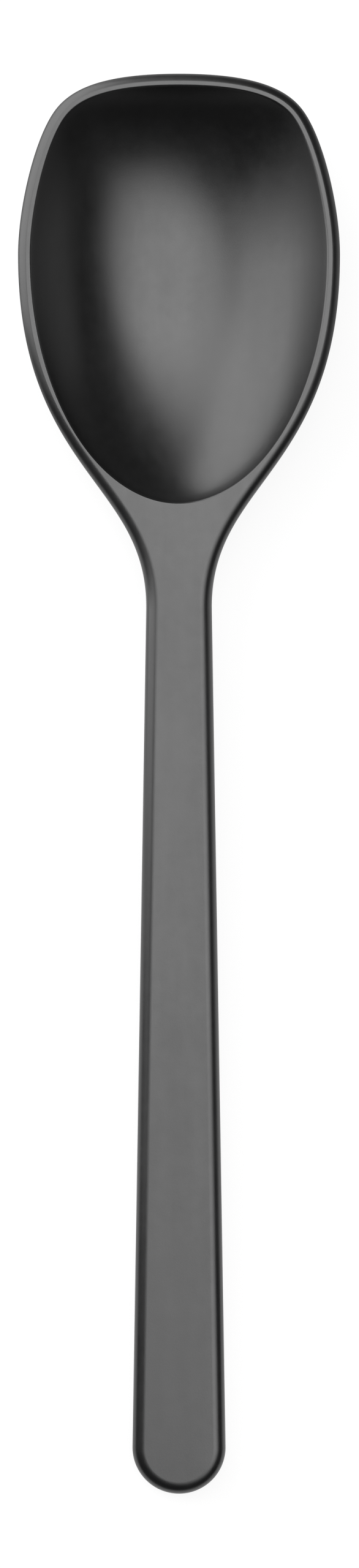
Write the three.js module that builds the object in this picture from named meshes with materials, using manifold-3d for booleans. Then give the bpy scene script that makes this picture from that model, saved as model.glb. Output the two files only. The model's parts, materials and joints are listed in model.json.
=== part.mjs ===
// Mixing spoon: a stiff nylon core inside a soft silicone skin that is moulded on in two shots, front and back.
// Millimetres. In the spoon's own frame the flat top face is the plane z = 0, y runs from the handle's end to the
// tip of the bowl and x runs across. The group at the end lays the spoon on its bowl and its handle's end.
import * as THREE from "three";
import { mergeVertices } from "three/addons/utils/BufferGeometryUtils.js";
import Module from "manifold-3d";

const wasm = await Module();
wasm.setup();

// Plan of the bowl, measured back from the tip
const overallLength = 300;
const bowlWidth = 68;
const widestFromTip = 38.3;
const tipCornerInset = 8;
const tipCornerDrop = 7.5;
const tipCornerAngle = 52.2;
const cavityEndFromTip = 90.7;
const deepestFromTip = 41.5;
const rimWidth = 2.6;

// Plan of the neck and handle
const neckWidth = 13.9;
const neckFromTip = 113.2;
const handleEndWidth = 19.7;
const handleEndRise = 9.8;

// Reach of each curve's handles along its end tangents
const tipReach = 14.9;
const cornerReachToTip = 6.1;
const cornerReachToSide = 7.25;
const sideReachUp = 10.1;
const sideReachDown = 45.8;
const neckReach = 27.2;

// Depths below the top face
const cavityDepth = 14;
const floorThickness = 3.2;
const neckThickness = 9;
const handleEndThickness = 7;
const partingDepth = 2.4;

// Rounding of the edges and of the bowl's wall
const rimRound = 1.8;
const handleRound = 2.6;
const underRound = 4.5;
const wallFullness = 2.7;
const tipPower = 1.1;
const sidePower = 1;
const heelPower = 1.3;
const heelReach = 8;
const keelFadeLength = 35;
const neckBlend = 3;

// Silicone skin and nylon core
const skinThickness = 1;
const bondGap = 0.2;
const softLip = 4;
const bowlHoleCount = 8;
const bowlHoleDiameter = 5;
const bowlHoleEdge = 4;
const slotCount = 5;
const slotLength = 20;
const slotWidth = 4.6;
const slotEndMargin = 24;

// Fineness of the facets
const curveSteps = 9;
const sideSteps = 13;
const endSteps = 7;
const plugSides = 56;
const plugRings = 8;
const roundSteps = 4;
const underSteps = 5;
const backRings = 5;
const holeSides = 10;
const clear = 6;

const halfBowl = bowlWidth / 2;
const halfNeck = neckWidth / 2;
const halfEnd = handleEndWidth / 2;
const widestY = overallLength - widestFromTip;
const neckY = overallLength - neckFromTip;
const cavityEndY = overallLength - cavityEndFromTip;
const pole = new THREE.Vector2(0, overallLength - deepestFromTip);
const halfCavity = halfBowl - rimWidth;
const smooth = THREE.MathUtils.smoothstep;

// The right half of the spoon's outline as curves, from the tip round the bowl and down the handle to its end.
function outlineCurves() {
  const point = (x, y) => new THREE.Vector2(x, y);
  const angle = THREE.MathUtils.degToRad(tipCornerAngle);
  const alongCorner = point(Math.cos(angle), -Math.sin(angle));
  const corner = point(halfBowl - tipCornerInset, overallLength - tipCornerDrop);
  const handleRun = neckY - handleEndRise;
  const taper = point((halfNeck - halfEnd) / handleRun, 1);
  const neck = point(halfNeck, neckY);
  const tip = new THREE.CubicBezierCurve(
    point(0, overallLength),
    point(tipReach, overallLength),
    corner.clone().addScaledVector(alongCorner, -cornerReachToTip),
    corner,
  );
  const shoulder = new THREE.CubicBezierCurve(
    corner,
    corner.clone().addScaledVector(alongCorner, cornerReachToSide),
    point(halfBowl, widestY + sideReachUp),
    point(halfBowl, widestY),
  );
  const side = new THREE.CubicBezierCurve(
    point(halfBowl, widestY),
    point(halfBowl, widestY - sideReachDown),
    neck.clone().addScaledVector(taper, neckReach),
    neck,
  );
  const edge = new THREE.LineCurve(neck, point(halfEnd, handleEndRise));
  const end = new THREE.EllipseCurve(0, handleEndRise, halfEnd, handleEndRise, 0, -Math.PI / 2, true);
  return { tip, shoulder, side, edge, end };
}

// Places along a curve with the outward normal at each, leaving out the first.
function stationsOn(curve, steps) {
  return Array.from({ length: steps }, (_, i) => {
    const u = (i + 1) / steps;
    const tangent = curve.getTangent(u);
    return { at: curve.getPoint(u), normal: new THREE.Vector2(-tangent.y, tangent.x) };
  });
}

const curves = outlineCurves();
const tipStation = { at: curves.tip.getPoint(0), normal: new THREE.Vector2(0, 1) };
const bowlStations = [tipStation, ...stationsOn(curves.tip, curveSteps), ...stationsOn(curves.shoulder, curveSteps)];
const halfStations = [
  ...bowlStations,
  ...stationsOn(curves.side, sideSteps),
  ...stationsOn(curves.edge, 1),
  ...stationsOn(curves.end, endSteps),
];
halfStations.at(-1).at.x = 0;
halfStations.at(-1).normal.set(0, -1);

// The mouth of the cavity grown outwards, right half from the tip to the lower end: the rim's inner edge
// follows the outline above the widest place, and is a quarter of an ellipse below it. A heel lengthens it
// towards the handle.
function mouthHalf(grow, heel = 0) {
  const upper = bowlStations.map(({ at, normal }) => at.clone().addScaledVector(normal, grow - rimWidth));
  const across = halfCavity + grow;
  const along = widestY - cavityEndY + grow + heel;
  const lower = stationsOn(new THREE.EllipseCurve(0, widestY, across, along, 0, -Math.PI / 2, true), 2 * sideSteps);
  return [...upper, ...lower.map((station) => station.at)];
}

// Distance from the pole to the grown mouth, as a function of the angle from the tip.
function mouthReach(grow, heel) {
  const half = mouthHalf(grow, heel).map((p) => p.clone().sub(pole));
  const angles = half.map((p) => Math.atan2(Math.abs(p.x), p.y));
  const reaches = half.map((p) => p.length());
  return (angle) => {
    const next = angles.findIndex((a) => a >= angle - 1e-9);
    if (next === 0) return reaches[0];
    if (next < 0) return reaches.at(-1);
    const share = (angle - angles[next - 1]) / (angles[next] - angles[next - 1]);
    return THREE.MathUtils.lerp(reaches[next - 1], reaches[next], share);
  };
}

// The bowl's depth is full at the pole and falls to nothing at the mouth, where the wall is at its steepest. Its
// level lines are ellipses near the pole and turn into the mouth's own outline towards the rim. The wall is a
// little fuller towards the tip and the handle than at the sides.
function bowlShape(grow, heel = 0) {
  const reach = mouthReach(grow, heel);
  const across = halfCavity + grow;
  const along = (reach(0) + reach(Math.PI)) / 2;
  const oval = (angle) => 1 / Math.hypot(Math.sin(angle) / across, Math.cos(angle) / along);
  const ring = (share, angle) => share * THREE.MathUtils.lerp(oval(angle), reach(angle), share * share);
  const power = (angle) => {
    const upper = THREE.MathUtils.lerp(tipPower, sidePower, smooth(angle, 0, Math.PI / 2));
    return THREE.MathUtils.lerp(upper, heelPower, smooth(angle, Math.PI / 2, Math.PI));
  };
  const depthShare = (share, angle) => Math.max(0, 1 - share ** wallFullness) ** (1 / power(angle));
  const depthShareAt = (p) => {
    const away = p.clone().sub(pole);
    const angle = Math.atan2(Math.abs(away.x), away.y);
    const far = reach(angle);
    let share = 1;
    for (let i = 0; i < 12; i++) {
      const level = THREE.MathUtils.lerp(oval(angle), far, share * share);
      share = Math.min(1, away.length() / level);
    }
    return depthShare(share, angle);
  };
  return { ring, depthShare, depthShareAt };
}

// A closed surface from rows of points: the rows go round it, and each runs from its top to its bottom.
function closedGeometry(rows) {
  const width = rows[0].length;
  const index = [];
  rows.forEach((_, j) => {
    const here = j * width;
    const next = ((j + 1) % rows.length) * width;
    for (let k = 0; k < width - 1; k++) {
      index.push(here + k, next + k + 1, here + k + 1, here + k, next + k, next + k + 1);
    }
  });
  const loose = new THREE.BufferGeometry().setFromPoints(rows.flat()).setIndex(index);
  return withoutSlivers(mergeVertices(loose, 1e-4));
}

// The same geometry without the triangles that merging its vertices has closed up.
function withoutSlivers(geometry) {
  const old = geometry.index.array;
  const kept = [];
  for (let i = 0; i < old.length; i += 3) {
    const [a, b, c] = old.slice(i, i + 3);
    if (a !== b && b !== c && c !== a) kept.push(a, b, c);
  }
  return geometry.setIndex(kept);
}

function solidOf(geometry) {
  geometry.deleteAttribute("normal");
  geometry.deleteAttribute("uv");
  const merged = withoutSlivers(mergeVertices(geometry, 1e-4));
  const vertProperties = merged.getAttribute("position").array;
  const triVerts = new Uint32Array(merged.index.array);
  return new wasm.Manifold(new wasm.Mesh({ numProp: 3, vertProperties, triVerts }));
}

function geometryOf(solid) {
  const { vertProperties, triVerts } = solid.getMesh();
  const geometry = new THREE.BufferGeometry();
  geometry.setAttribute("position", new THREE.BufferAttribute(vertProperties, 3));
  geometry.setIndex(new THREE.BufferAttribute(triVerts, 1));
  geometry.computeVertexNormals();
  return geometry;
}

// How far the back lies below the parting level, under a place that is `inside` mm in from the outline:
// the bowl's back and the handle's underside, run together by a power mean so that the neck has no crease.
function backDepth(place, inside, inset, bowl) {
  const slope = (neckThickness - handleEndThickness) / neckY;
  const handle = handleEndThickness + slope * Math.min(place.y, neckY) - partingDepth - inset;
  const edge = 1 - Math.min(1, inside / (underRound - inset));
  const fade = 1 - smooth(place.y, cavityEndY, cavityEndY + keelFadeLength);
  const keel = handle * Math.sqrt(1 - edge * edge) * fade;
  const cup = (cavityDepth + floorThickness - partingDepth - inset) * bowl.depthShareAt(place);
  return (keel ** neckBlend + cup ** neckBlend) ** (1 / neckBlend);
}

// One line of the surface, from the middle of the top over the edge to the middle of the back.
function crossSection({ at, normal }, inset, bowl) {
  const edge = at.clone().addScaledVector(normal, -inset);
  const middle = new THREE.Vector2(0, THREE.MathUtils.clamp(edge.y, handleEndRise, pole.y));
  const inward = middle.clone().sub(edge);
  const run = inward.length();
  const squareness = -inward.clone().normalize().dot(normal);
  const bowlness = smooth(at.y, neckY, widestY);
  const round = THREE.MathUtils.lerp(handleRound, rimRound, bowlness) - inset;
  const section = [new THREE.Vector3(middle.x, middle.y, -inset)];
  for (let i = 0; i < roundSteps; i++) {
    const turn = ((i / roundSteps) * Math.PI) / 2;
    const place = edge.clone().addScaledVector(normal, -round * (1 - Math.sin(turn)));
    section.push(new THREE.Vector3(place.x, place.y, -inset - (partingDepth - inset) * (1 - Math.cos(turn))));
  }
  section.push(new THREE.Vector3(edge.x, edge.y, -partingDepth));
  const under = underRound - inset;
  for (let i = 1; i <= underSteps + backRings; i++) {
    const turn = (Math.min(1, i / underSteps) * Math.PI) / 2;
    const rest = Math.max(0, (i - underSteps) / backRings);
    const inside = THREE.MathUtils.lerp(under * (1 - Math.cos(turn)), run * squareness, rest);
    const place = edge.clone().addScaledVector(inward, inside / (run * squareness));
    section.push(new THREE.Vector3(place.x, place.y, -partingDepth - backDepth(place, inside, inset, bowl)));
  }
  return section;
}

// The whole spoon with its bowl not yet hollowed, shrunk on all sides by an inset.
function spoonBlank(inset) {
  const bowl = bowlShape(rimWidth - inset, heelReach);
  const right = halfStations.map((station) => crossSection(station, inset, bowl));
  const mirrored = (section) => section.map((p) => new THREE.Vector3(-p.x, p.y, p.z));
  const left = right.slice(1, -1).reverse().map(mirrored);
  return solidOf(closedGeometry([...right, ...left]));
}

// What fills the bowl's cavity, grown on all sides, and stands clear above the top face.
function bowlPlug(grow) {
  const bowl = bowlShape(grow);
  const rows = Array.from({ length: plugSides }, (_, j) => {
    const turn = (j / plugSides) * 2 * Math.PI;
    const fromTip = turn > Math.PI ? 2 * Math.PI - turn : turn;
    const place = (share, z) => {
      const reach = bowl.ring(share, fromTip);
      return new THREE.Vector3(pole.x + reach * Math.sin(turn), pole.y + reach * Math.cos(turn), z);
    };
    const wall = Array.from({ length: plugRings + 1 }, (_, k) => {
      const share = Math.cos(((k / plugRings) * Math.PI) / 2);
      return place(share, -(cavityDepth + grow) * bowl.depthShare(share, fromTip));
    });
    return [place(0, clear), place(1, clear), ...wall];
  });
  return solidOf(closedGeometry(rows));
}

// A flat outline raised through the whole height of the spoon.
function throughAll(points) {
  const bottom = -(cavityDepth + floorThickness + clear);
  const prism = new THREE.ExtrudeGeometry(new THREE.Shape(points), { depth: clear - bottom, bevelEnabled: false });
  return solidOf(prism.translate(0, 0, bottom));
}

// The core's plan: an oval blade that stops short of the bowl's rim, and a stem that runs down the handle.
function corePlan(grow) {
  const right = mouthHalf(grow - softLip);
  const left = right.slice(1, -1).reverse();
  const blade = [...right, ...left.map((p) => new THREE.Vector2(-p.x, p.y))];
  const stemRight = [
    new THREE.Vector2(halfNeck - skinThickness + grow, pole.y),
    new THREE.Vector2(halfNeck + skinThickness + grow, neckY),
    new THREE.Vector2(halfEnd + skinThickness + grow, -clear),
  ];
  const stem = [...stemRight, ...stemRight.toReversed().map((p) => new THREE.Vector2(-p.x, p.y))];
  return throughAll(blade).add(throughAll(stem));
}

// Openings through the core, which the two shots of silicone fill to lock the skin on.
function coreOpenings(shrink) {
  const holeRadius = bowlHoleDiameter / 2 - shrink;
  const ring = bowlShape(-softLip - bowlHoleEdge);
  const holes = Array.from({ length: bowlHoleCount }, (_, i) => {
    const turn = ((i + 0.5) / bowlHoleCount) * 2 * Math.PI;
    const reach = ring.ring(1, turn > Math.PI ? 2 * Math.PI - turn : turn);
    return roundEnded(pole.x + reach * Math.sin(turn), pole.y + reach * Math.cos(turn), 0, holeRadius);
  });
  const slotRadius = slotWidth / 2 - shrink;
  const straight = slotLength - slotWidth;
  const first = slotEndMargin + slotLength / 2;
  const pitch = (neckY - 2 * first) / (slotCount - 1);
  const slots = Array.from({ length: slotCount }, (_, i) => roundEnded(0, first + i * pitch, straight, slotRadius));
  return [...holes, ...slots].reduce((all, opening) => all.add(opening));
}

// A hole or slot through all, its round ends `straight` apart along y.
function roundEnded(x, y, straight, radius) {
  const points = Array.from({ length: holeSides }, (_, i) => {
    const turn = ((i + 0.5) / holeSides) * 2 * Math.PI;
    const shift = Math.sign(Math.sin(turn)) * (straight / 2);
    return new THREE.Vector2(x + radius * Math.cos(turn), y + shift + radius * Math.sin(turn));
  });
  return throughAll(points);
}

// The core, or the pocket that it leaves in the skin when grown by the bond's gap.
function coreSolid(grow) {
  const blank = spoonBlank(skinThickness - grow).subtract(bowlPlug(skinThickness - grow));
  return blank.intersect(corePlan(grow)).subtract(coreOpenings(grow));
}

// Where the front shot may go: above the parting level, and in the front half of the bowl's wall.
function frontSpace(grow) {
  const slab = new THREE.BoxGeometry(2 * bowlWidth, 2 * overallLength, clear);
  slab.translate(0, overallLength / 2, clear / 2 - partingDepth - grow);
  return solidOf(slab).add(bowlPlug(floorThickness / 2 + grow));
}

// The tilt about x at which the bowl and the handle's end stand on one level.
function restTilt(points) {
  const lowest = (tilt, keep) => {
    const heights = points.filter(keep).map((p) => p.y * Math.sin(tilt) + p.z * Math.cos(tilt));
    return Math.min(...heights);
  };
  let [flat, steep] = [0, Math.PI / 4];
  for (let i = 0; i < 40; i++) {
    const tilt = (flat + steep) / 2;
    const bowlIsLower = lowest(tilt, (p) => p.y > neckY) < lowest(tilt, (p) => p.y <= neckY);
    [flat, steep] = bowlIsLower ? [tilt, steep] : [flat, tilt];
  }
  return (flat + steep) / 2;
}

function pointsOf(geometry) {
  const position = geometry.getAttribute("position");
  return Array.from({ length: position.count }, (_, i) => new THREE.Vector3().fromBufferAttribute(position, i));
}

function named(name, solid, material) {
  const mesh = new THREE.Mesh(geometryOf(solid), material);
  mesh.name = name;
  return mesh;
}

const silicone = new THREE.MeshStandardMaterial({ color: 0x3f4041, roughness: 0.5, metalness: 0 });
const nylon = new THREE.MeshStandardMaterial({ color: 0x1d1d1e, roughness: 0.6, metalness: 0 });

const blank = spoonBlank(0);
const pocket = coreSolid(bondGap);
const frontShot = blank.intersect(frontSpace(0)).subtract(bowlPlug(0)).subtract(pocket);
const backShot = blank.subtract(frontSpace(bondGap)).subtract(pocket);

const spoon = new THREE.Group();
spoon.add(named("front_skin", frontShot, silicone));
spoon.add(named("back_skin", backShot, silicone));
spoon.add(named("nylon_core", coreSolid(0), nylon));

// Laid down: the origin is on the table under the middle of the spoon's box.
spoon.rotation.x = restTilt(pointsOf(geometryOf(blank)));
spoon.updateMatrixWorld(true);
const box = new THREE.Box3().setFromPoints(pointsOf(geometryOf(blank)).map((p) => p.applyMatrix4(spoon.matrixWorld)));
const middle = box.getCenter(new THREE.Vector3());
spoon.position.set(-middle.x, -middle.y, -box.min.z);

export default new THREE.Group().add(spoon);
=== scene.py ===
"""Mixing spoon: silicone moulded in two shots, front and back, over a stiff nylon core.

The spoon's own frame has its flat top face at z = 0, y from the handle's end to the bowl's tip
and x across. Lengths are in metres.
"""

import json
import math

import bpy
import numpy as np
from bpy.props import FloatProperty, FloatVectorProperty, PointerProperty
from mathutils import Matrix, Vector


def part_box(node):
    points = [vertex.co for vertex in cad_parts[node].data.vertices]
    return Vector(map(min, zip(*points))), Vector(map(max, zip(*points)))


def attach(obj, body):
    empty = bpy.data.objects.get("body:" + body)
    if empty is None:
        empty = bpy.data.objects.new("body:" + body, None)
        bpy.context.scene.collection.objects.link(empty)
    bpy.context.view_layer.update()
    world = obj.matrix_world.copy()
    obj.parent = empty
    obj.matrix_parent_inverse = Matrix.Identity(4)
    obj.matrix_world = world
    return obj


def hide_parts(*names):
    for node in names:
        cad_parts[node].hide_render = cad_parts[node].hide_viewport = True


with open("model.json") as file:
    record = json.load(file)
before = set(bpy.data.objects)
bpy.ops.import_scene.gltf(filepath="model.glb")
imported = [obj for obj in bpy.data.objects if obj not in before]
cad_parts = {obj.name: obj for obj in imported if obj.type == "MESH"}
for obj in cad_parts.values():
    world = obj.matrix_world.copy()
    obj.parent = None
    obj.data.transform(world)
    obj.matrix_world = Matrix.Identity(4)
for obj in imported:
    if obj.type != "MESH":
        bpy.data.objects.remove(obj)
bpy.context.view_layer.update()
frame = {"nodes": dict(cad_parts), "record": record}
BOWL_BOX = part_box("front_skin")

bl_info = {
    "name": "Mixing Spoon",
    "version": (1, 0, 0),
    "blender": (4, 5, 0),
    "location": "View3D > Sidebar > Spoon",
    "description": "Builds a silicone mixing spoon and its studio stage",
    "category": "Object",
}

BODY = "root"

# Distance from the handle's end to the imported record's handle face
HANDLE_FACE_FROM_END = 0.1

# Points along each stretch of the outline, and rings across each band of the surface
TIP_POINTS = 44
SHOULDER_POINTS = 44
SIDE_POINTS = 84
EDGE_POINTS = 16
END_POINTS = 36
MOUTH_POINTS = 1500
WALL_RINGS = 44
LIP_RINGS = 6
ROUND_RINGS = 14
UNDER_RINGS = 18
BACK_RINGS = 26
HIDDEN_RINGS = 10

# Rounds of the sum that finds a place's share of the hollow
SHARE_ROUNDS = 16
# How far the rays below the mouth are drawn towards the middle line
NECK_DRAW = 0.5
# Where the rim's own rounding starts, from the mouth's lower end to the widest place
RIM_START = 0.7
# Width of the rounding on the front shot's hidden side
HIDDEN_ROUND = 0.00045
# Flat strip beside a rounding, as a share of the lip's, and the tuck of the seam's last ring
GUARD_SHARE = 0.25
SEAM_TUCK = 0.6
# Faces that meet at more than this angle keep a sharp edge
SHARP_ANGLE = math.radians(40)
# How rubbed the rings about the lip are
LIP_WEAR = (0.6, 0.9, 1.0, 0.9, 0.5)

# Sizes of the silicone's marks, as features in a metre, and the draw of its wiped smears
CLOUD_SCALE = 45.0
SMEAR_SCALE = 22.0
SMEAR_DRAW = (9.0, 1.0, 9.0)
SCUFF_SCALE = 160.0
MOTTLE_SCALE = 420.0
GRAIN_SCALE = 2600.0
GRAIN_STRENGTH = 0.12
GRAIN_HEIGHT = 0.00008

# Sizes of the nylon's marks, as features in a metre, and the draw of its fibres
HAZE_SCALE = 90.0
FIBRE_SCALE = 380.0
FIBRE_DRAW = (6.0, 1.0, 6.0)
FIBRE_LEVEL = 0.6
PIT_SCALE = 1500.0
PIT_STRENGTH = 0.3
PIT_HEIGHT = 0.0001
NYLON_ROUGHNESS = 0.52

# The round table and the low wall it sweeps up into
TABLE_REACH = 6.5
TABLE_MIDDLE = 0.9
SWEEP = 0.9
WALL_TOP = 1.7
TABLE_SIDES = 96
SWEEP_RINGS = 12

# The table's two greys, its glow, and the heights between which the glow fades up the wall
TABLE_TONES = (0.13, 0.13, 0.13, 1.0), (0.15, 0.15, 0.15, 1.0)
TABLE_CLOUD_SCALE = 3.0
TABLE_GLOW = 0.88
WALL_FADE = (0.03, 0.3)
WALL_GLOW = (0.03, 0.03, 0.03, 1.0)
WHITE = (1.0, 1.0, 1.0, 1.0)

# The place in the spoon's own frame at the middle of the picture, and the end of the view
VIEW_MIDDLE = (0.0001, 0.14999, 0.0)
VIEW_END = 50.0


def length(name, description, default):
    """A property that holds a length in metres."""
    return FloatProperty(
        name=name,
        description=description,
        default=default,
        min=0.0,
        unit="LENGTH",
        precision=5,
    )


def amount(name, description, default, low, high, **kind):
    """A property that holds a number between two limits."""
    return FloatProperty(
        name=name,
        description=description,
        default=default,
        min=low,
        max=high,
        **kind,
    )


def watts(name, description, default):
    """A property that holds a lamp's power in watts."""
    return amount(name, description, default, 0.0, 500.0, unit="POWER")


def colour(name, description, default):
    """A property that holds a linear colour."""
    return FloatVectorProperty(
        name=name,
        description=description,
        default=default,
        size=4,
        min=0.0,
        subtype="COLOR",
    )


class SpoonPlan(bpy.types.PropertyGroup):
    """Sizes of the spoon as it is seen from above"""

    overall: length("Length", "Handle's end to the bowl's tip", 0.3)
    bowl_width: length(
        "Bowl width", "Across the bowl's widest place", BOWL_BOX[1].x - BOWL_BOX[0].x
    )
    widest_from_tip: length("Widest from tip", "Tip to the bowl's widest place", 0.0383)
    corner_inset: length("Corner inset", "Bowl's side to the corner beside the tip", 0.008)
    corner_drop: length("Corner drop", "Tip to the corner, along the spoon", 0.0075)
    corner_angle: FloatProperty(
        name="Corner angle",
        description="Slope of the outline at the corner",
        default=math.radians(52.2),
        subtype="ANGLE",
    )
    mouth_end_from_tip: length("Mouth end", "Tip to the lower end of the bowl's hollow", 0.0907)
    deepest_from_tip: length("Deepest from tip", "Tip to the deepest place of the hollow", 0.0415)
    rim_width: length("Rim width", "Outline to the hollow's edge", 0.0026)
    neck_width: length("Neck width", "Across the narrowest place", 0.0139)
    neck_from_tip: length("Neck from tip", "Tip to the narrowest place", 0.1132)
    end_width: length("End width", "Across the handle's end", 0.0197)
    end_rise: length("End rise", "Height of the handle's round end", 0.0098)
    tip_reach: length("Tip reach", "Curve handle at the tip", 0.0149)
    corner_reach_tip: length("Corner reach to tip", "Curve handle before the corner", 0.0061)
    corner_reach_side: length("Corner reach to side", "Curve handle after the corner", 0.00725)
    side_reach_up: length("Side reach up", "Curve handle above the widest place", 0.0101)
    side_reach_down: length("Side reach down", "Curve handle below the widest place", 0.0458)
    neck_reach: length("Neck reach", "Curve handle at the neck", 0.0272)


class SpoonSection(bpy.types.PropertyGroup):
    """Depths and roundings of the spoon"""

    hollow_depth: length("Hollow depth", "Top face to the bottom of the hollow", 0.014)
    floor: length("Bowl wall", "Thickness at the bottom of the bowl", 0.0032)
    neck_thickness: length("Neck thickness", "Thickness at the neck", 0.009)
    end_thickness: length("End thickness", "Thickness at the handle's end", 0.007)
    parting: length("Parting depth", "Top face to the line where the two shots meet", 0.0024)
    seam: length("Seam", "Fine groove between the two shots", 0.0001)
    seam_roll: length("Seam roll", "Rounding of each shot beside the groove", 0.0001)
    skin: length("Skin", "Thickness of each silicone shot", 0.0007)
    rim_round: length("Rim round", "Width of the rounding of the bowl's outer top edge", 0.0017)
    rim_drop: length("Rim drop", "Height of the rounding of the bowl's outer top edge", 0.0012)
    rim_power: amount(
        "Rim power", "Power of that rounding, 2 for a quarter ellipse", 1.35, 1.0, 4.0
    )
    handle_round: length("Handle round", "Rounding of the handle's top edge", 0.0026)
    under_round: length("Under round", "Rounding of the handle's lower edge", 0.0045)
    lip_round: length("Lip round", "Rounding of the hollow's edge", 0.00025)
    heel_reach: length("Heel reach", "How far the bowl's back runs on under the neck", 0.008)
    keel_fade: length(
        "Keel fade", "Length over which the handle's underside runs into the bowl", 0.035
    )
    wall_fullness: amount("Wall fullness", "Power of the hollow's radius", 2.7, 1.0, 6.0)
    tip_power: amount("Tip power", "Power of the hollow's depth towards the tip", 1.1, 1.0, 4.0)
    side_power: amount(
        "Side power", "Power of the hollow's depth towards the sides", 1.0, 1.0, 4.0
    )
    heel_power: amount(
        "Heel power", "Power of the hollow's depth towards the handle", 1.3, 1.0, 4.0
    )
    neck_blend: amount(
        "Neck blend", "Power of the mean that joins bowl and handle", 3.0, 1.0, 8.0
    )


class SpoonFinish(bpy.types.PropertyGroup):
    """Colours and gloss of the spoon"""

    silicone: colour("Silicone", "Colour of the silicone", (0.003, 0.00303, 0.0031, 1.0))
    bloom: colour(
        "Bloom",
        "Paler colour where the silicone is rubbed or cloudy",
        (0.008, 0.0081, 0.0083, 1.0),
    )
    roughness: amount(
        "Roughness", "Roughness of the satin silicone", 0.35, 0.0, 1.0, subtype="FACTOR"
    )
    index: amount("Index", "Refractive index of the silicone's skin", 1.7, 1.0, 3.0)
    nylon: colour("Nylon", "Colour of the core", (0.016, 0.016, 0.017, 1.0))
    nylon_fibre: colour(
        "Nylon fibre", "Colour of the glass fibres in the core", (0.05, 0.05, 0.052, 1.0)
    )


class SpoonStage(bpy.types.PropertyGroup):
    """Camera and lamps"""

    lens: amount("Lens", "Focal length of the camera", 150.0, 20.0, 400.0, unit="CAMERA")
    shown: length("Shown height", "Height of the picture at the spoon's top face", 0.33084)
    overhead: watts("Overhead", "Power of the soft box above", 7.25)
    side: watts("Side", "Power of the soft box at the left", 20.0)
    fill: watts("Fill", "Power of the weak soft box at the right", 0.41)
    surround: amount("Surround", "Strength of the dim room", 0.02, 0.0, 2.0)


def smooth(value, start, end):
    """Smooth step: 0 before start, 1 after end, and 3u^2 - 2u^3 of the share u between them."""
    share = np.clip((value - start) / (end - start), 0.0, 1.0)
    return share * share * (3.0 - 2.0 * share)


def mix(first, second, share):
    """Straight mix of two values."""
    return first + (second - first) * share


def bezier(points, t):
    """Cubic curve: four points weighed by the Bernstein powers of t, with its tangent."""
    p = np.asarray(points)
    t = t[:, None]
    s = 1.0 - t
    place = s**3 * p[0] + 3 * s * s * t * p[1] + 3 * s * t * t * p[2] + t**3 * p[3]
    along = s * s * (p[1] - p[0]) + 2 * s * t * (p[2] - p[1]) + t * t * (p[3] - p[2])
    return place, along


def quarter_ellipse(centre_y, across, along, turn):
    """Ellipse about (0, centre_y): across times cos and along times sin of the turn, with its
    tangent."""
    place = np.stack([across * np.cos(turn), centre_y - along * np.sin(turn)], axis=1)
    tangent = np.stack([-across * np.sin(turn), -along * np.cos(turn)], axis=1)
    return place, tangent


def joined(curves):
    """Places of curves in a row, with their unit normals: each tangent turned a quarter left."""
    points = np.concatenate([place for place, _ in curves])
    along = np.concatenate([tangent for _, tangent in curves])
    along /= np.linalg.norm(along, axis=1, keepdims=True)
    return points, np.stack([-along[:, 1], along[:, 0]], axis=1)


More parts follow.
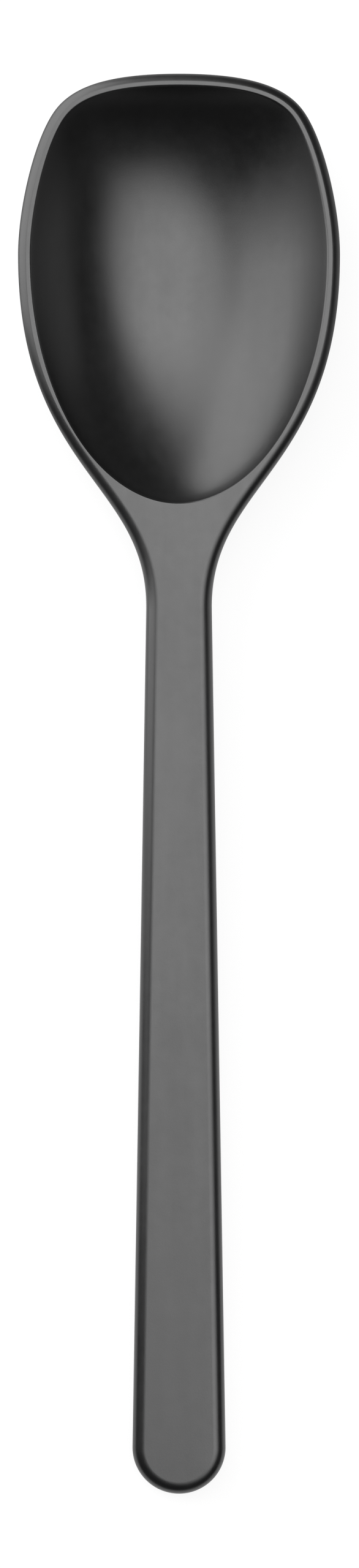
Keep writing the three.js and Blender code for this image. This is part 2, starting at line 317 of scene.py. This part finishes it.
class SpoonForm:
    """The spoon's outline, its hollow's edge and the rounding of its top edge."""

    def __init__(self, plan, section):
        self.plan = plan
        self.section = section
        self.half_bowl = plan.bowl_width / 2
        self.widest_y = plan.overall - plan.widest_from_tip
        self.neck_y = plan.overall - plan.neck_from_tip
        self.mouth_end_y = plan.overall - plan.mouth_end_from_tip
        self.pole_y = plan.overall - plan.deepest_from_tip
        self.half_mouth = self.half_bowl - plan.rim_width
        points, normals = self.half_outline()
        flip = np.array([-1.0, 1.0])
        self.outline = np.concatenate([points, points[-2:0:-1] * flip])
        self.normals = np.concatenate([normals, normals[-2:0:-1] * flip])

    def bowl_curves(self, tip_points, shoulder_points):
        """The two cubic curves from the tip round the corner to the widest place, right half."""
        plan = self.plan
        slope = np.array([math.cos(plan.corner_angle), -math.sin(plan.corner_angle)])
        corner = np.array([self.half_bowl - plan.corner_inset, plan.overall - plan.corner_drop])
        widest = np.array([self.half_bowl, self.widest_y])
        tip = [
            (0.0, plan.overall),
            (plan.tip_reach, plan.overall),
            corner - slope * plan.corner_reach_tip,
            corner,
        ]
        shoulder = [
            corner,
            corner + slope * plan.corner_reach_side,
            widest + (0.0, plan.side_reach_up),
            widest,
        ]
        return [
            bezier(tip, np.linspace(0, 1, tip_points, endpoint=False)),
            bezier(shoulder, np.linspace(0, 1, shoulder_points, endpoint=False)),
        ]

    def half_outline(self):
        """Right half of the outline from tip to handle's end: three cubics, the straight taper
        and a round end."""
        plan = self.plan
        half_neck, half_end = plan.neck_width / 2, plan.end_width / 2
        widest = np.array([self.half_bowl, self.widest_y])
        neck = np.array([half_neck, self.neck_y])
        end = np.array([half_end, plan.end_rise])
        taper = np.array([(half_neck - half_end) / (self.neck_y - plan.end_rise), 1.0])
        side = [
            widest,
            widest - (0.0, plan.side_reach_down),
            neck + taper * plan.neck_reach,
            neck,
        ]
        edge = [neck, mix(neck, end, 1 / 3), mix(neck, end, 2 / 3), end]
        turn = np.linspace(0, math.pi / 2, END_POINTS)
        points, normals = joined(
            [
                *self.bowl_curves(TIP_POINTS, SHOULDER_POINTS),
                bezier(side, np.linspace(0, 1, SIDE_POINTS, endpoint=False)),
                bezier(edge, np.linspace(0, 1, EDGE_POINTS, endpoint=False)),
                quarter_ellipse(plan.end_rise, half_end, plan.end_rise, turn),
            ]
        )
        points[[0, -1], 0] = 0.0
        normals[[0, -1]] = (0.0, 1.0), (0.0, -1.0)
        return points, normals

    def mouth(self, grow, heel):
        """Right half of the hollow's edge, grown outwards: the outline drawn in by the rim above
        the widest place, and a quarter of an ellipse below it, which a heel lengthens."""
        points, normals = joined(self.bowl_curves(MOUTH_POINTS, MOUTH_POINTS))
        upper = points + normals * (grow - self.plan.rim_width)
        reach_down = self.widest_y - self.mouth_end_y + grow + heel
        turn = np.linspace(0, math.pi / 2, MOUTH_POINTS)
        lower, _ = quarter_ellipse(self.widest_y, self.half_mouth + grow, reach_down, turn)
        return np.concatenate([upper, lower])

    def inset_outline(self, inset):
        """The outline drawn in along its normals."""
        return self.outline - self.normals * inset

    def ray_ends(self):
        """Where the rays from the hollow's pole point: at the outline, and below the mouth at
        places nearer the middle line, so that the flat face between the mouth and the neck's
        edges doesn't fold."""
        below = 1.0 - smooth(self.outline[:, 1], self.neck_y, self.mouth_end_y)
        return self.outline * np.column_stack([1.0 - NECK_DRAW * below, np.ones(len(below))])

    def edge_round(self):
        """Width, height and power of the top edge's rounding at each place: the handle's below
        the neck, the rim's about the bowl and a smooth step between them."""
        section = self.section
        rim_y = mix(self.mouth_end_y, self.widest_y, RIM_START)
        share = smooth(self.outline[:, 1], self.neck_y, rim_y)
        width = mix(section.handle_round, section.rim_round, share)
        drop = mix(section.parting - section.seam_roll, section.rim_drop, share)
        return width, drop, mix(2.0, section.rim_power, share)


class Cup:
    """A bowl-shaped depth: full at the pole and nothing at the mouth, where its wall is steepest.

    Its level lines are ellipses near the pole and turn into the mouth's outline with the square
    of the share.
    """

    def __init__(self, form, grow, heel=0.0):
        self.section = form.section
        self.pole_y = form.pole_y
        away = form.mouth(grow, heel) - (0.0, form.pole_y)
        self.angles = np.arctan2(np.abs(away[:, 0]), away[:, 1])
        self.reaches = np.hypot(away[:, 0], away[:, 1])
        self.across = form.half_mouth + grow
        self.along = (self.reaches[0] + self.reaches[-1]) / 2

    def level(self, share, angle):
        """Distance from the pole to a level line, divided by its share."""
        oval = 1.0 / np.hypot(np.sin(angle) / self.across, np.cos(angle) / self.along)
        return mix(oval, np.interp(angle, self.angles, self.reaches), share * share)

    def power(self, angle):
        """The depth's power: from the tip's to the side's in the first quarter turn, then on to
        the heel's."""
        section = self.section
        upper = mix(section.tip_power, section.side_power, smooth(angle, 0.0, math.pi / 2))
        return mix(upper, section.heel_power, smooth(angle, math.pi / 2, math.pi))

    def depth_share(self, share, angle):
        """One less a power of the share, to the root that the angle gives."""
        rest = np.maximum(0.0, 1.0 - share**self.section.wall_fullness)
        return rest ** (1.0 / self.power(angle))

    def share_at(self, depth_share, angle):
        """The share at which the depth has fallen to a part of itself: the same sum the other
        way round."""
        return (1.0 - depth_share ** self.power(angle)) ** (1.0 / self.section.wall_fullness)

    def depth_share_at(self, x, y):
        """The depth's share at any place: its share solves share times level = distance, found
        by repeating."""
        angle = np.arctan2(np.abs(x), y - self.pole_y)
        radius = np.hypot(x, y - self.pole_y)
        share = np.ones_like(radius)
        for _ in range(SHARE_ROUNDS):
            share = np.minimum(1.0, radius / self.level(share, angle))
        return self.depth_share(share, angle)


def front_rings(form, inset, wall_rings, round_rings):
    """Rings of the front shot from the hollow's pole to the parting line, moved in by an inset.

    The wall's rings are level lines at even shares. The lip is a parabola from the wall to the
    flat top face, with its control point at their corner. The outer edge is a quarter of a
    superellipse: the sine and cosine of a turn, each to the root of 2 that its power gives.
    """
    section = form.section
    cup = Cup(form, inset)
    away = form.ray_ends() - (0.0, form.pole_y)
    angle = np.arctan2(np.abs(away[:, 0]), away[:, 1])
    ray = away / np.linalg.norm(away, axis=1, keepdims=True)
    depth = section.hollow_depth + inset
    lip = section.lip_round
    corner_share = cup.share_at(inset / depth, angle)

    def ring(reach, z):
        """A ring at a reach from the pole along the rays."""
        x, y = ray[:, 0] * reach, form.pole_y + ray[:, 1] * reach
        return np.column_stack([x, y, np.broadcast_to(z, len(ray))])

    def wall(part):
        """Reach and height of the wall at a part of the way from the pole to the lip."""
        share = corner_share * part
        return share * cup.level(share, angle), -depth * cup.depth_share(share, angle)

    low_part = 1.0 - lip / form.half_mouth
    rings = [ring(*wall(part)) for part in np.linspace(0.0, low_part, wall_rings)]
    low_reach, low_z = wall(low_part)
    corner, _ = wall(1.0)
    for t in np.linspace(0, 1, LIP_RINGS)[1:]:
        reach = mix(mix(low_reach, corner, t), mix(corner, corner + lip, t), t)
        rings.append(ring(reach, mix(mix(low_z, -inset, t), -inset, t)))
    guard = lip * GUARD_SHARE
    rings.append(ring(corner + lip + guard, -inset))
    outline = form.inset_outline(inset)
    width, drop, power = form.edge_round()
    if inset:
        width = np.full(len(outline), HIDDEN_ROUND)
    roll = 0.0 if inset else section.seam_roll

    def edge_ring(inside, z):
        """A ring drawn in from the outline."""
        inside = np.broadcast_to(inside, len(outline))
        place = outline - form.normals * inside[:, None]
        return np.column_stack([place, np.broadcast_to(z, len(outline))])

    rings.append(edge_ring(width + guard, -inset))
    for turn in np.linspace(0, math.pi / 2, round_rings):
        inside = width * (1 - math.sin(turn) ** (2 / power))
        fall = (drop - inset) * (1 - math.cos(turn) ** (2 / power))
        rings.append(edge_ring(inside, -inset - fall))
    rings.append(edge_ring(0.0, roll - section.parting))
    if roll:
        rings.append(edge_ring(roll * SEAM_TUCK, -section.parting))
    return np.array(rings)


def back_rings(form, inset, under_rings, back_count):
    """Rings of the back shot from the parting line to the spine, moved in by an inset.

    Each ring point lies on a line from the outline to the spine. The depth there is a power mean
    of the bowl's back, a cup with a heel, and of the handle's underside, a quarter round that
    fades out under the bowl.
    """
    plan, section = form.plan, form.section
    cup = Cup(form, plan.rim_width - inset, section.heel_reach)
    edge = form.inset_outline(inset)
    spine_y = np.clip(edge[:, 1], plan.end_rise, form.pole_y)
    inward = np.column_stack([np.zeros(len(edge)), spine_y]) - edge
    run = -np.einsum("ij,ij->i", inward, form.normals)
    under = section.under_round - inset
    steps = under * (1 - np.cos(np.linspace(0, math.pi / 2, under_rings)))
    shares = np.linspace(0, 1, back_count + 1)[1:]
    rounded = np.repeat(steps[:, None], len(edge), axis=1)
    inside = np.concatenate([rounded, mix(under, run, shares[:, None])])
    place = edge + inward * (inside / run)[:, :, None]
    x, y = place[:, :, 0], place[:, :, 1]
    slope = (section.neck_thickness - section.end_thickness) / form.neck_y
    thickness = section.end_thickness + slope * np.minimum(y, form.neck_y)
    handle = thickness - section.parting - inset
    rim = 1 - np.minimum(1, inside / under)
    fade = 1 - smooth(y, form.mouth_end_y, form.mouth_end_y + section.keel_fade)
    keel = handle * np.sqrt(np.maximum(0, 1 - rim * rim)) * fade
    deepest = section.hollow_depth + section.floor - section.parting - inset
    bowl = deepest * cup.depth_share_at(x, y)
    power = section.neck_blend
    depth = (keel**power + bowl**power) ** (1 / power)
    depth[0] = section.seam
    return np.stack([x, y, -section.parting - depth], axis=2)


def handle_face():
    """Normal and place of the handle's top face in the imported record."""
    face = next(m for m in frame["record"]["mounts"] if m["name"] == "handle_top")
    normal = np.array(face["axis"]) / np.linalg.norm(face["axis"])
    return normal, np.array(face["pos_m"])


def place_in_frame(points):
    """Turns and moves the spoon's own frame to the row's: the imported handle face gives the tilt
    and the place."""
    normal, at = handle_face()
    along = np.array([0.0, normal[2], -normal[1]])
    origin = at - along * HANDLE_FACE_FROM_END
    across = points[..., :1] * (1.0, 0.0, 0.0)
    return across + points[..., 1:2] * along + points[..., 2:] * normal + origin


def ring_corners(count, around):
    """Numbers of each ring point but the last ring's, and of its neighbour round the ring."""
    k, j = np.meshgrid(np.arange(count - 1), np.arange(around), indexing="ij")
    return k * around + j, k * around + (j + 1) % around


def shell(name, rings, wear):
    """A closed mesh from rings that go round it: each ring is joined to the next, and both ends
    close up."""
    count, around = rings.shape[:2]
    points = np.round(place_in_frame(rings).reshape(-1, 3), 8) + 0.0
    here, there = ring_corners(count, around)
    first = np.stack([here, there, there + around], axis=-1).reshape(-1, 3)
    second = np.stack([here, there + around, here + around], axis=-1).reshape(-1, 3)
    kept, chosen, merged = np.unique(points, axis=0, return_index=True, return_inverse=True)
    faces = merged.reshape(-1)[np.concatenate([first, second])]
    a, b, c = faces.T
    faces = faces[(a != b) & (b != c) & (c != a)]
    mesh = bpy.data.meshes.new(name)
    mesh.from_pydata(kept.tolist(), [], faces.tolist())
    layer = mesh.attributes.new("wear", "FLOAT", "POINT")
    layer.data.foreach_set("value", wear.reshape(-1)[chosen].astype(np.float32))
    mesh.shade_smooth()
    mesh.set_sharp_from_angle(angle=SHARP_ANGLE)
    mesh.update()
    piece = bpy.data.objects.new(name, mesh)
    bpy.context.scene.collection.objects.link(piece)
    return piece


class Wire:
    """A value in a material. Sums on it add Math nodes."""

    def __init__(self, paint, socket):
        self.paint = paint
        self.socket = socket

    def math(self, operation, first, second):
        return self.paint.node("ShaderNodeMath", {"operation": operation}, {0: first, 1: second})

    def __add__(self, other):
        return self.math("ADD", self, other)

    def __sub__(self, other):
        return self.math("SUBTRACT", self, other)

    def __mul__(self, other):
        return self.math("MULTIPLY", self, other)

    def __gt__(self, other):
        return self.math("GREATER_THAN", self, other)

    def __rsub__(self, other):
        return self.math("SUBTRACT", other, self)

    __radd__ = __add__
    __rmul__ = __mul__


class Paint:
    """A material or world and the nodes in it."""

    def __init__(self, owner):
        self.owner = owner
        owner.use_nodes = True
        self.tree = owner.node_tree
        self.tree.nodes.clear()

    def node(self, kind, settings=None, sockets=None, output=0):
        """Adds a node, sets its settings and then its sockets, and gives one of its outputs."""
        made = self.tree.nodes.new(kind)
        for key, value in (settings or {}).items():
            setattr(made, key, value)
        for key, value in (sockets or {}).items():
            if isinstance(value, Wire):
                self.tree.links.new(value.socket, made.inputs[key])
            else:
                made.inputs[key].default_value = value
        return Wire(self, made.outputs[output]) if made.outputs else made

    def noise(self, where, scale, detail=2.0, roughness=0.5):
        """Value of a noise texture."""
        sockets = {"Vector": where, "Scale": scale, "Detail": detail, "Roughness": roughness}
        return self.node("ShaderNodeTexNoise", None, sockets, "Fac")

    def mixed(self, first, second, share):
        """Mix of two colours."""
        sockets = {"Factor": share, 6: first, 7: second}
        return self.node("ShaderNodeMix", {"data_type": "RGBA"}, sockets, 2)

    def drawn(self, where, scale):
        """Coordinates scaled across, so that a pattern on them is drawn out along the spoon."""
        return self.node("ShaderNodeMapping", None, {"Vector": where, "Scale": scale})

    def bump(self, strength, distance, height):
        """Normal of a bumped surface."""
        sockets = {"Strength": strength, "Distance": distance, "Height": height}
        return self.node("ShaderNodeBump", None, sockets)

    def finished(self, surface):
        """Ends a material in its surface."""
        self.node("ShaderNodeOutputMaterial", None, {"Surface": surface})
        return self.owner


def silicone_paint(finish):
    """Satin moulded silicone: fine grain, cloudy bloom, wiped smears along the spoon and edges
    rubbed smoother."""
    paint = Paint(bpy.data.materials.new("satin_silicone"))
    where = paint.node("ShaderNodeTexCoord", output="Object")
    wear = paint.node("ShaderNodeAttribute", {"attribute_name": "wear"}, output="Fac")
    cloud = paint.noise(where, CLOUD_SCALE, 4.0, 0.55)
    smear = paint.noise(paint.drawn(where, SMEAR_DRAW), SMEAR_SCALE, 3.0, 0.6)
    mottle = paint.noise(where, MOTTLE_SCALE, 3.0, 0.6)
    grain = paint.noise(where, GRAIN_SCALE, 2.0, 0.6)
    scuffs = paint.noise(where, SCUFF_SCALE, 5.0, 0.7)
    rubbed = wear * (0.45 + 0.9 * scuffs)
    share = 0.12 + 0.5 * (cloud - 0.42) + 0.3 * (mottle - 0.5) + 0.5 * rubbed
    clouded = finish.roughness + 0.09 * (cloud - 0.5) + 0.1 * (smear - 0.5)
    sockets = {
        "Base Color": paint.mixed(tuple(finish.silicone), tuple(finish.bloom), share),
        "Roughness": clouded + 0.07 * (mottle - 0.5) - 0.05 * rubbed,
        "IOR": finish.index,
        "Normal": paint.bump(GRAIN_STRENGTH, GRAIN_HEIGHT, 0.65 * grain + 0.35 * mottle),
    }
    return paint.finished(paint.node("ShaderNodeBsdfPrincipled", None, sockets))


def nylon_paint(finish):
    """Glass-filled nylon: matte and dark, with short pale fibres drawn out along the spoon."""
    paint = Paint(bpy.data.materials.new("glass_filled_nylon"))
    where = paint.node("ShaderNodeTexCoord", output="Object")
    fibre = paint.noise(paint.drawn(where, FIBRE_DRAW), FIBRE_SCALE, 3.0, 0.65)
    haze = paint.noise(where, HAZE_SCALE, 3.0)
    pits = paint.noise(where, PIT_SCALE, 2.0)
    share = (fibre > FIBRE_LEVEL) * 0.5 + 0.3 * haze
    sockets = {
        "Base Color": paint.mixed(tuple(finish.nylon), tuple(finish.nylon_fibre), share),
        "Roughness": NYLON_ROUGHNESS + 0.12 * (haze - 0.5) + 0.1 * (fibre - 0.5),
        "Normal": paint.bump(PIT_STRENGTH, PIT_HEIGHT, 0.5 * fibre + 0.5 * pits),
    }
    return paint.finished(paint.node("ShaderNodeBsdfPrincipled", None, sockets))


def floor_paint():
    """Pale table: white to the camera and in reflections, dimmed where the spoon shades it and up
    its wall."""
    paint = Paint(bpy.data.materials.new("pale_table"))
    where = paint.node("ShaderNodeTexCoord", output="Object")
    seen = paint.node("ShaderNodeLightPath", output="Is Camera Ray")
    glossy = paint.node("ShaderNodeLightPath", output="Is Glossy Ray")
    through = paint.node("ShaderNodeLightPath", output="Is Transmission Ray")
    tone = paint.mixed(*TABLE_TONES, paint.noise(where, TABLE_CLOUD_SCALE, 2.0))
    matte = paint.node("ShaderNodeBsdfDiffuse", None, {"Color": tone})
    height = paint.node("ShaderNodeSeparateXYZ", None, {"Vector": where}, "Z")
    limits = {"Value": height, "From Min": WALL_FADE[0], "From Max": WALL_FADE[1]}
    risen = paint.node("ShaderNodeMapRange", {"interpolation_type": "SMOOTHSTEP"}, limits)
    light = {
        "Color": paint.mixed(WHITE, WALL_GLOW, risen),
        "Strength": TABLE_GLOW * (seen + glossy + through),
    }
    glow = paint.node("ShaderNodeEmission", None, light)
    return paint.finished(paint.node("ShaderNodeAddShader", None, {0: matte, 1: glow}))


def spoon_form():
    """The spoon's form from the scene's properties."""
    return SpoonForm(bpy.context.scene.spoon_plan, bpy.context.scene.spoon_section)


def silicone():
    """The one silicone material that both shots share."""
    made = bpy.data.materials.get("satin_silicone")
    return made or silicone_paint(bpy.context.scene.spoon_finish)


class SPOON_OT_front_skin(bpy.types.Operator):
    """Make the front shot of silicone: the hollow, the lip and the flat top face"""

    bl_idname = "spoon.front_skin"
    bl_label = "Front Skin"

    def execute(self, context):
        form = spoon_form()
        outer = front_rings(form, 0.0, WALL_RINGS, ROUND_RINGS)
        inner = front_rings(form, form.section.skin, HIDDEN_RINGS, HIDDEN_RINGS)
        rings = np.concatenate([outer, inner[::-1]])
        level = np.zeros(len(rings))
        lip = WALL_RINGS + LIP_RINGS // 2 - 1
        level[lip - 2 : lip + 3] = LIP_WEAR
        edge = WALL_RINGS + LIP_RINGS + 1
        level[edge : edge + ROUND_RINGS] = np.sin(np.linspace(0, math.pi, ROUND_RINGS))
        wear = np.repeat(level[:, None], rings.shape[1], axis=1)
        piece = shell("front_silicone", rings, wear)
        piece.data.materials.append(silicone())
        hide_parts("front_skin")
        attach(piece, BODY)
        return {"FINISHED"}


class SPOON_OT_back_skin(bpy.types.Operator):
    """Make the back shot of silicone: the bowl's back, the underside and the lower edges"""

    bl_idname = "spoon.back_skin"
    bl_label = "Back Skin"

    def execute(self, context):
        form = spoon_form()
        outer = back_rings(form, 0.0, UNDER_RINGS, BACK_RINGS)
        inner = back_rings(form, form.section.skin, HIDDEN_RINGS, HIDDEN_RINGS)
        rings = np.concatenate([inner[::-1], outer])
        bottom = form.section.hollow_depth
        wear = smooth(-rings[:, :, 2], bottom, bottom + form.section.floor)
        piece = shell("back_silicone", rings, wear)
        piece.data.materials.append(silicone())
        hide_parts("back_skin")
        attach(piece, BODY)
        return {"FINISHED"}


class SPOON_OT_core(bpy.types.Operator):
    """Finish the nylon core that the skins are moulded over"""

    bl_idname = "spoon.core"
    bl_label = "Core"

    def execute(self, context):
        core = frame["nodes"]["nylon_core"]
        core.data.materials.clear()
        core.data.materials.append(nylon_paint(context.scene.spoon_finish))
        return {"FINISHED"}


def facing(azimuth, elevation):
    """Turn of a lamp that stands in a direction and faces back along it, all in degrees."""
    return (90.0 - elevation, 0.0, azimuth + 90.0)


# Size across and up, place, turn in degrees and spread in degrees of each soft box
OVERHEAD_BOX = (2.32, 0.96), (0.059, 0.222, 1.2), (10.0, 1.0, 133.1), 91.7
SIDE_BOX = (1.87, 1.12), (-0.556, 0.903, 0.548), facing(167.1, 16.6), 180.0
FILL_BOX = (0.61, 0.37), (0.98, 0.22, 0.19), facing(9.9, 6.0), 180.0


class SPOON_OT_stage(bpy.types.Operator):
    """Set the table, the soft boxes, the dim room and the camera"""

    bl_idname = "spoon.stage"
    bl_label = "Stage"

    def execute(self, context):
        scene = context.scene
        stage = scene.spoon_stage
        scene.view_settings.view_transform = "Standard"
        self.table(scene)
        self.room(scene, stage)
        self.soft_box(scene, "overhead_box", stage.overhead, *OVERHEAD_BOX)
        self.soft_box(scene, "side_box", stage.side, *SIDE_BOX)
        self.soft_box(scene, "fill_box", stage.fill, *FILL_BOX)
        self.camera(scene, stage)
        return {"FINISHED"}

    def table(self, scene):
        """A round table that sweeps up into a low wall: a profile of a floor, a quarter round and
        a wall, turned about the upright through the middle."""
        turn = np.linspace(0, math.pi / 2, SWEEP_RINGS)
        flat = TABLE_REACH - SWEEP
        reach = np.concatenate(
            [[flat * TABLE_MIDDLE], flat + SWEEP * np.sin(turn), [TABLE_REACH]]
        )
        rise = np.concatenate([[0.0], SWEEP * (1 - np.cos(turn)), [WALL_TOP]])
        angle = np.arange(TABLE_SIDES) * 2 * math.pi / TABLE_SIDES
        x, y = np.outer(reach, np.cos(angle)), np.outer(reach, np.sin(angle))
        z = np.repeat(rise[:, None], TABLE_SIDES, axis=1)
        points = np.stack([x, y, z], axis=2).reshape(-1, 3)
        here, there = ring_corners(len(reach), TABLE_SIDES)
        corners = [here, here + TABLE_SIDES, there + TABLE_SIDES, there]
        sides = np.stack(corners, axis=-1).reshape(-1, 4)
        middle = list(range(TABLE_SIDES))
        mesh = bpy.data.meshes.new("table")
        mesh.from_pydata(points.tolist(), [], [middle, *sides.tolist()])
        mesh.materials.append(floor_paint())
        mesh.shade_smooth()
        table = bpy.data.objects.new("table", mesh)
        scene.collection.objects.link(table)

    def room(self, scene, stage):
        """A dim, even room."""
        paint = Paint(bpy.data.worlds.new("dim_room"))
        sockets = {"Color": WHITE, "Strength": stage.surround}
        surface = paint.node("ShaderNodeBackground", None, sockets)
        paint.node("ShaderNodeOutputWorld", None, {"Surface": surface})
        scene.world = paint.owner

    def soft_box(self, scene, name, power, size, at, turn, spread):
        """A rectangle of light at a place, with a turn and a spread in degrees. A spread under
        180 is that of a box with a grid."""
        lamp = bpy.data.lights.new(name, "AREA")
        lamp.shape = "RECTANGLE"
        lamp.spread = math.radians(spread)
        lamp.size, lamp.size_y = size
        lamp.energy = power
        box = bpy.data.objects.new(name, lamp)
        box.location = at
        box.rotation_euler = [math.radians(angle) for angle in turn]
        box.visible_camera = False
        scene.collection.objects.link(box)

    def camera(self, scene, stage):
        """A camera square to the flat top face, at the distance that shows the height asked."""
        eye = bpy.data.cameras.new("camera")
        eye.lens = stage.lens
        eye.clip_end = VIEW_END
        normal, _ = handle_face()
        target = Vector(place_in_frame(np.array(VIEW_MIDDLE)))
        back = Vector(normal)
        across = Vector((1.0, 0.0, 0.0))
        turn = Matrix((across, back.cross(across), back)).transposed().to_4x4()
        away = stage.shown * eye.lens / eye.sensor_width
        camera = bpy.data.objects.new("camera", eye)
        camera.matrix_world = Matrix.Translation(target + back * away) @ turn
        scene.collection.objects.link(camera)
        scene.camera = camera


class SPOON_PT_sidebar(bpy.types.Panel):
    """Lists the spoon's pieces and settings"""

    bl_idname = "SPOON_PT_sidebar"
    bl_label = "Mixing Spoon"
    bl_space_type = "VIEW_3D"
    bl_region_type = "UI"
    bl_category = "Spoon"

    def draw(self, context):
        for operator in OPERATORS:
            self.layout.operator(operator.bl_idname)
        for name in GROUPS:
            group = getattr(context.scene, name)
            box = self.layout.box()
            for key in group.__annotations__:
                box.prop(group, key)


OPERATORS = (SPOON_OT_front_skin, SPOON_OT_back_skin, SPOON_OT_core, SPOON_OT_stage)
GROUPS = {
    "spoon_plan": SpoonPlan,
    "spoon_section": SpoonSection,
    "spoon_finish": SpoonFinish,
    "spoon_stage": SpoonStage,
}
CLASSES = (*GROUPS.values(), *OPERATORS, SPOON_PT_sidebar)


def register():
    """Registers the classes and puts the settings on the scene."""
    for made in CLASSES:
        bpy.utils.register_class(made)
    for name, group in GROUPS.items():
        setattr(bpy.types.Scene, name, PointerProperty(type=group))


def unregister():
    """Takes the settings off the scene and the classes out."""
    for name in GROUPS:
        delattr(bpy.types.Scene, name)
    for made in reversed(CLASSES):
        bpy.utils.unregister_class(made)


def main():
    """Makes the pieces and the stage."""
    register()
    bpy.ops.spoon.front_skin()
    bpy.ops.spoon.back_skin()
    bpy.ops.spoon.core()
    bpy.ops.spoon.stage()


if __name__ == "__main__":
    main()
